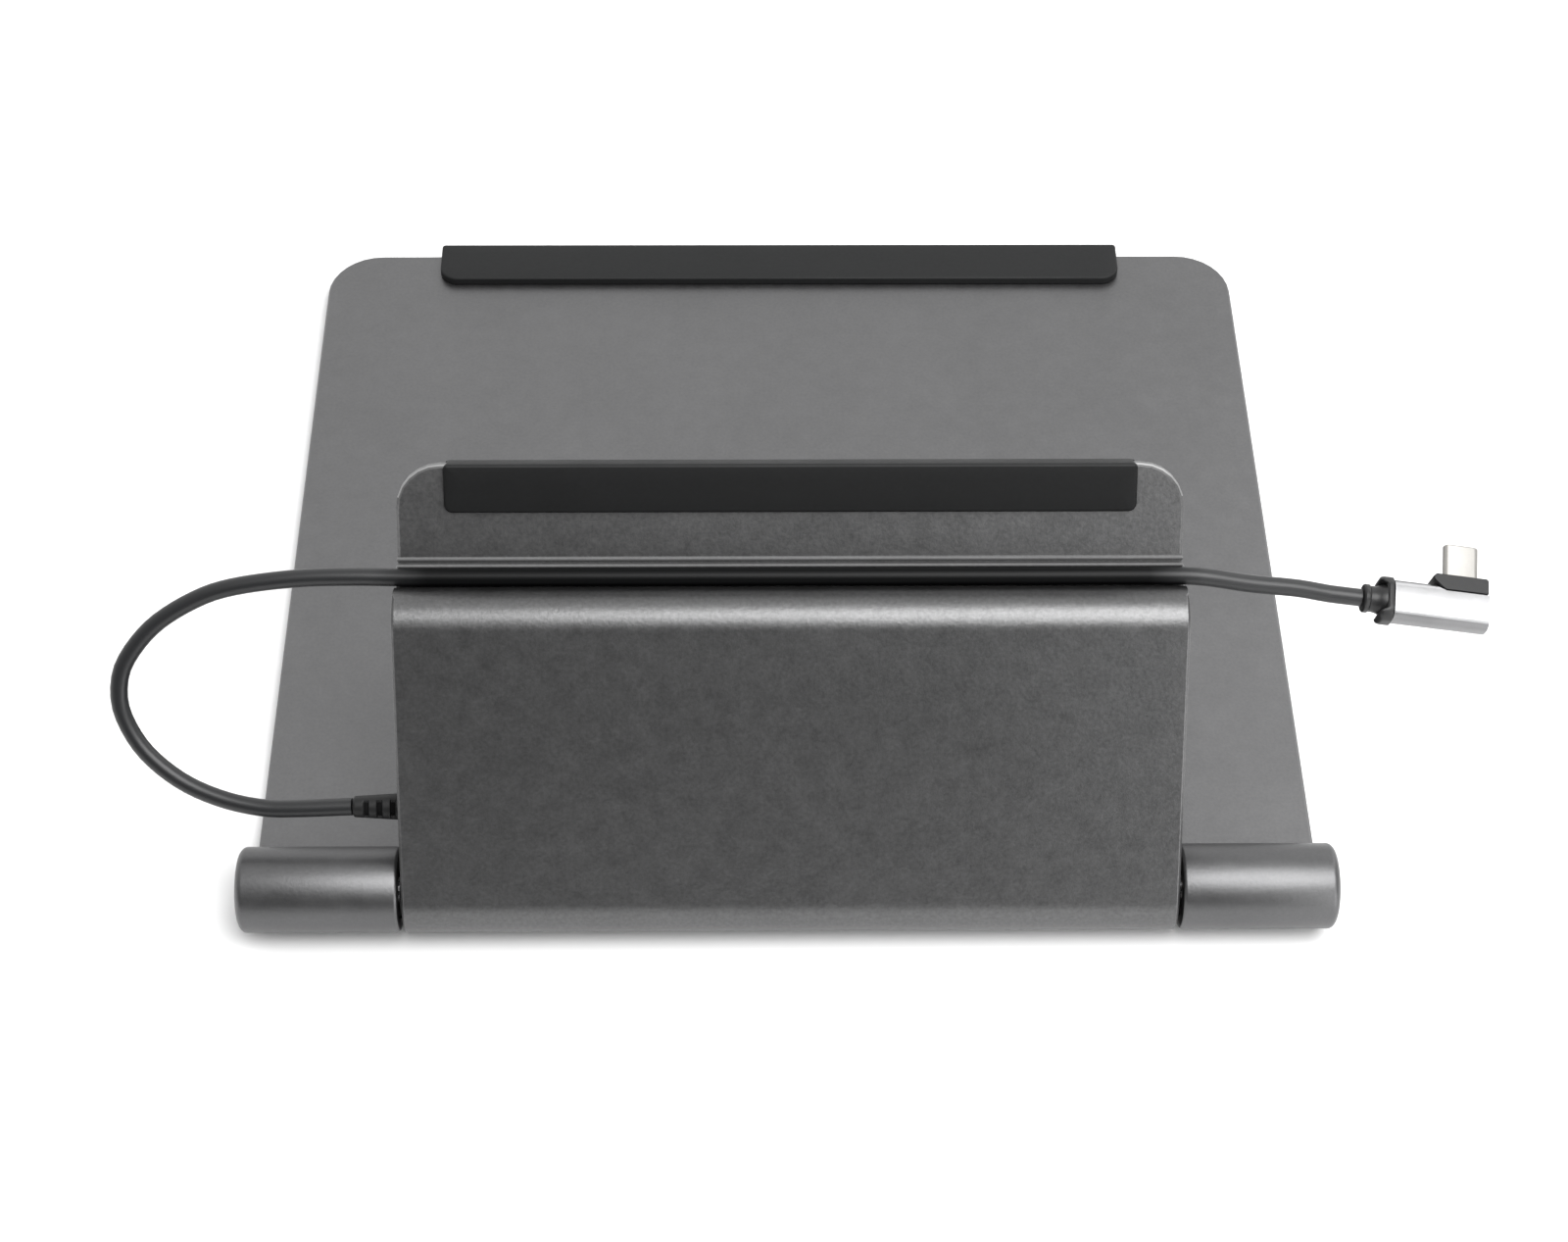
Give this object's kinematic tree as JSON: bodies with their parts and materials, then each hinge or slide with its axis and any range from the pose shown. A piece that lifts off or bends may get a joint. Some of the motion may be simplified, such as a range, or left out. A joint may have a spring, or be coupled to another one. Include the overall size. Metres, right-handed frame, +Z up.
{
  "type": "laptop cooling pad",
  "caption": "Folding aluminium laptop cooling pad: flat plate, tubular friction hinge, leg with docking hub, cable groove, rubber-edged foot lip and USB-C cable.",
  "frame": {"origin": "on the table under the middle of the object's outline, the free cable and its plug left out", "axes": "+X along the hinge, to the right seen from the hinge side; +Y from the hinge to the plate's far edge; +Z up from the table"},
  "size_m": [0.3249, 0.2398, 0.0978],
  "materials": {
    "anodised_aluminium": "bead-blasted, dark grey anodised",
    "lip_aluminium": "bead-blasted, dark grey anodised",
    "bright_aluminium": "satin, bare",
    "steel": "turned",
    "dark_steel": "blackened",
    "bronze": "turned",
    "black_rubber": "matt",
    "black_plastic": "matt",
    "cable_jacket": "satin",
    "circuit_board": "solder mask",
    "chip_package": "matt",
    "thermal_pad": "matt"
  },
  "bodies": {
    "base": {"barrel_screw_left_1": "steel", "barrel_screw_left_2": "steel", "barrel_screw_right_1": "steel", "barrel_screw_right_2": "steel", "base_plate": "anodised_aluminium", "far_edge_rubber": "black_rubber", "friction_sleeve_left": "dark_steel", "friction_sleeve_right": "dark_steel", "hinge_barrel_left": "anodised_aluminium", "hinge_barrel_right": "anodised_aluminium", "hinge_end_cap_left": "anodised_aluminium", "hinge_end_cap_right": "anodised_aluminium", "hinge_washer_left": "black_plastic", "hinge_washer_right": "black_plastic", "underside_pad_left": "black_rubber", "underside_pad_right": "black_rubber"},
    "leg": {"cable": "cable_jacket", "cable_strain_relief": "black_plastic", "card_reader_chip": "chip_package", "card_slot": "bright_aluminium", "cover_screw_1": "steel", "cover_screw_2": "steel", "cover_screw_3": "steel", "cover_screw_4": "steel", "hdmi_port": "bright_aluminium", "hinge_insert_left": "bronze", "hinge_insert_right": "bronze", "hinge_shaft_left": "steel", "hinge_shaft_right": "steel", "hub_board": "circuit_board", "hub_controller_chip": "chip_package", "leg_back_cover": "anodised_aluminium", "leg_end_cover_left": "black_plastic", "leg_end_cover_right": "black_plastic", "leg_shell": "anodised_aluminium", "lip_plate": "lip_aluminium", "lip_rubber": "black_rubber", "lip_screw_1": "steel", "lip_screw_2": "steel", "lip_screw_3": "steel", "lip_screw_4": "steel", "plug_collar": "black_plastic", "plug_contact_shell": "bright_aluminium", "plug_flange": "black_plastic", "plug_head": "black_plastic", "plug_shell": "bright_aluminium", "thermal_pad": "thermal_pad", "usb_a_port_1": "bright_aluminium", "usb_a_port_2": "bright_aluminium", "usb_c_power_port": "bright_aluminium", "video_chip": "chip_package"}
  },
  "joints": [
    {"name": "leg_fold", "type": "hinge", "parent": "base", "child": "leg", "pos_m": [0, -0.10965, 0.0118], "axis": [1, 0, 0], "range_deg": [-54.8, 58.7]}
  ]
}
